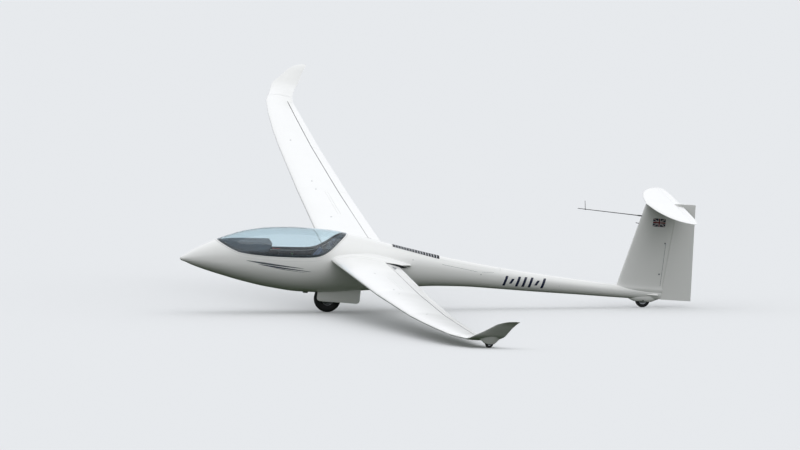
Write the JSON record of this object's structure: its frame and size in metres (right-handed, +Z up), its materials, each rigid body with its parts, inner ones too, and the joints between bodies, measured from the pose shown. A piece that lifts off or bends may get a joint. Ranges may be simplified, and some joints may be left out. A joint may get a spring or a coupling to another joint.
{
  "type": "single-seat sailplane",
  "caption": "Single-seat flapped sailplane with a T-tail, winglets and a clear canopy, parked on its main wheel, tail wheel and a wing tip wheel.",
  "frame": {"origin": "on the ground, under the middle of the bounding box", "axes": "-X towards the nose, +X aft, +Y starboard along the span, +Z up from the ground"},
  "size_m": [6.9204, 17.7856, 3.0386],
  "materials": {
    "gelcoat": "gloss white gelcoat",
    "acrylic": "clear, lightly blue",
    "rubber": "matt black",
    "alloy": "machined",
    "steel": "painted grey steel",
    "dark_trim": "matt",
    "grey_trim": "matt",
    "cloth": "woven",
    "cells": "dark glossy cells"
  },
  "bodies": {
    "airframe": {"cockpit_shell": "gelcoat", "centre_section": "gelcoat", "tail_boom": "gelcoat", "fin": "gelcoat", "tailplane": "gelcoat", "wing_starboard": "gelcoat", "wing_port": "gelcoat", "winglet_starboard": "gelcoat", "winglet_port": "gelcoat", "engine_block": "steel", "main_gear_leg": "steel", "gear_door_starboard": "gelcoat", "gear_door_port": "gelcoat", "tow_release": "steel", "tail_wheel_fairing": "gelcoat", "seat_pan": "dark_trim", "seat_cushion": "cloth", "rear_shelf": "dark_trim", "headrest": "cloth", "rudder_pedals": "steel", "control_stick": "dark_trim", "side_console_starboard": "grey_trim", "side_console_port": "grey_trim", "tail_probe": "steel", "fin_pitot": "steel"},
    "canopy": {"canopy_glass": "acrylic", "canopy_frame": "dark_trim", "instrument_cowl": "grey_trim", "instrument_panel": "dark_trim"},
    "rudder": {"rudder": "gelcoat"},
    "elevator": {"elevator": "gelcoat"},
    "main_wheel": {"main_tyre": "rubber", "main_hub": "alloy"},
    "tail_wheel": {"tail_tyre": "rubber", "tail_hub": "alloy"},
    "flap_starboard": {"flap_starboard": "gelcoat"},
    "flaperon_starboard": {"flaperon_starboard": "gelcoat"},
    "aileron_starboard": {"aileron_starboard": "gelcoat"},
    "airbrake_upper_starboard": {"airbrake_upper_starboard": "gelcoat"},
    "airbrake_lower_starboard": {"airbrake_lower_starboard": "gelcoat"},
    "tip_wheel_starboard": {"tip_wheel_starboard": "rubber"},
    "engine_door_starboard": {"engine_door_starboard": "gelcoat", "solar_strip_starboard": "cells"},
    "flap_port": {"flap_port": "gelcoat"},
    "flaperon_port": {"flaperon_port": "gelcoat"},
    "aileron_port": {"aileron_port": "gelcoat"},
    "airbrake_upper_port": {"airbrake_upper_port": "gelcoat"},
    "airbrake_lower_port": {"airbrake_lower_port": "gelcoat"},
    "tip_wheel_port": {"tip_wheel_port": "rubber"},
    "engine_door_port": {"engine_door_port": "gelcoat", "solar_strip_port": "cells"}
  },
  "joints": [
    {"name": "canopy_hinge", "type": "hinge", "parent": "airframe", "child": "canopy", "pos_m": [-3.14758, 0.16097, 0.86343], "axis": [-0.0138, -0.9882, -0.1528], "range_deg": [0, 45]},
    {"name": "rudder_hinge", "type": "hinge", "parent": "airframe", "child": "rudder", "pos_m": [3.01118, 0.19196, 0.10557], "axis": [0.1611, -0.153, 0.975], "range_deg": [-25, 25]},
    {"name": "elevator_hinge", "type": "hinge", "parent": "airframe", "child": "elevator", "pos_m": [3.1826, -0.00379, 1.3561], "axis": [0.0138, 0.9882, 0.1528], "range_deg": [-22, 18]},
    {"name": "flap_starboard_hinge", "type": "hinge", "parent": "airframe", "child": "flap_starboard", "pos_m": [-0.76369, 0.63609, 0.78192], "axis": [-0.0022, 0.9757, 0.2193], "range_deg": [-8, 22]},
    {"name": "flap_port_hinge", "type": "hinge", "parent": "airframe", "child": "flap_port", "pos_m": [-0.77724, -0.33231, 0.63218], "axis": [0.0298, 0.9959, 0.0856], "range_deg": [-8, 22]},
    {"name": "flaperon_starboard_hinge", "type": "hinge", "parent": "airframe", "child": "flaperon_starboard", "pos_m": [-0.77043, 3.61513, 1.45155], "axis": [-0.0022, 0.9713, 0.2377], "range_deg": [-14, 14]},
    {"name": "flaperon_port_hinge", "type": "hinge", "parent": "airframe", "child": "flaperon_port", "pos_m": [-0.86823, -3.37315, 0.37103], "axis": [0.0298, 0.9973, 0.0667], "range_deg": [-14, 14]},
    {"name": "aileron_starboard_hinge", "type": "hinge", "parent": "airframe", "child": "aileron_starboard", "pos_m": [-0.77542, 5.80912, 1.98858], "axis": [0.0071, 0.9661, 0.2579], "range_deg": [-20, 20]},
    {"name": "aileron_port_hinge", "type": "hinge", "parent": "airframe", "child": "aileron_port", "pos_m": [-0.93545, -5.62589, 0.22052], "axis": [0.0204, 0.9987, 0.0459], "range_deg": [-20, 20]},
    {"name": "airbrake_upper_starboard_slide", "type": "slide", "parent": "airframe", "child": "airbrake_upper_starboard", "axis": [0.0881, -0.2136, 0.9729], "range_m": [0, 0.112]},
    {"name": "airbrake_lower_starboard_slide", "type": "slide", "parent": "airframe", "child": "airbrake_lower_starboard", "axis": [0.0881, -0.2136, 0.9729], "range_m": [0, 0.056]},
    {"name": "airbrake_upper_port_slide", "type": "slide", "parent": "airframe", "child": "airbrake_upper_port", "axis": [0.0898, -0.0926, 0.9916], "range_m": [0, 0.112]},
    {"name": "airbrake_lower_port_slide", "type": "slide", "parent": "airframe", "child": "airbrake_lower_port", "axis": [0.0898, -0.0926, 0.9916], "range_m": [0, 0.056]},
    {"name": "engine_door_starboard_hinge", "type": "hinge", "parent": "airframe", "child": "engine_door_starboard", "pos_m": [-0.63066, 0.20283, 0.88199], "axis": [-0.9745, -0.0061, 0.2241], "range_deg": [0, 88]},
    {"name": "engine_door_port_hinge", "type": "hinge", "parent": "airframe", "child": "engine_door_port", "pos_m": [-0.63284, 0.0467, 0.85785], "axis": [0.9749, 0.0352, -0.2196], "range_deg": [0, 88]},
    {"name": "main_wheel_axle", "type": "hinge", "parent": "airframe", "child": "main_wheel", "pos_m": [-1.4825, 0.24351, 0.17892], "axis": [0.0138, 0.9882, 0.1528], "continuous": true},
    {"name": "tail_wheel_axle", "type": "hinge", "parent": "airframe", "child": "tail_wheel", "pos_m": [2.77156, 0.19641, 0.09848], "axis": [0.0138, 0.9882, 0.1528], "continuous": true},
    {"name": "tip_wheel_starboard_axle", "type": "hinge", "parent": "airframe", "child": "tip_wheel_starboard", "pos_m": [-0.67922, 8.64538, 2.70843], "axis": [0.0138, 0.9882, 0.1528], "continuous": true},
    {"name": "tip_wheel_port_axle", "type": "hinge", "parent": "airframe", "child": "tip_wheel_port", "pos_m": [-0.91984, -8.54864, 0.04993], "axis": [0.0138, 0.9882, 0.1528], "continuous": true}
  ],
  "couplings": [
    {"joint": "flap_port_hinge", "follows": "flap_starboard_hinge", "ratio": 1},
    {"joint": "aileron_port_hinge", "follows": "aileron_starboard_hinge", "ratio": -1},
    {"joint": "flaperon_starboard_hinge", "follows": "aileron_starboard_hinge", "ratio": 0.7},
    {"joint": "flaperon_port_hinge", "follows": "aileron_starboard_hinge", "ratio": -0.7},
    {"joint": "airbrake_upper_port_slide", "follows": "airbrake_upper_starboard_slide", "ratio": 1},
    {"joint": "airbrake_lower_starboard_slide", "follows": "airbrake_upper_starboard_slide", "ratio": 0.5},
    {"joint": "airbrake_lower_port_slide", "follows": "airbrake_upper_starboard_slide", "ratio": 0.5},
    {"joint": "engine_door_port_hinge", "follows": "engine_door_starboard_hinge", "ratio": 1}
  ]
}
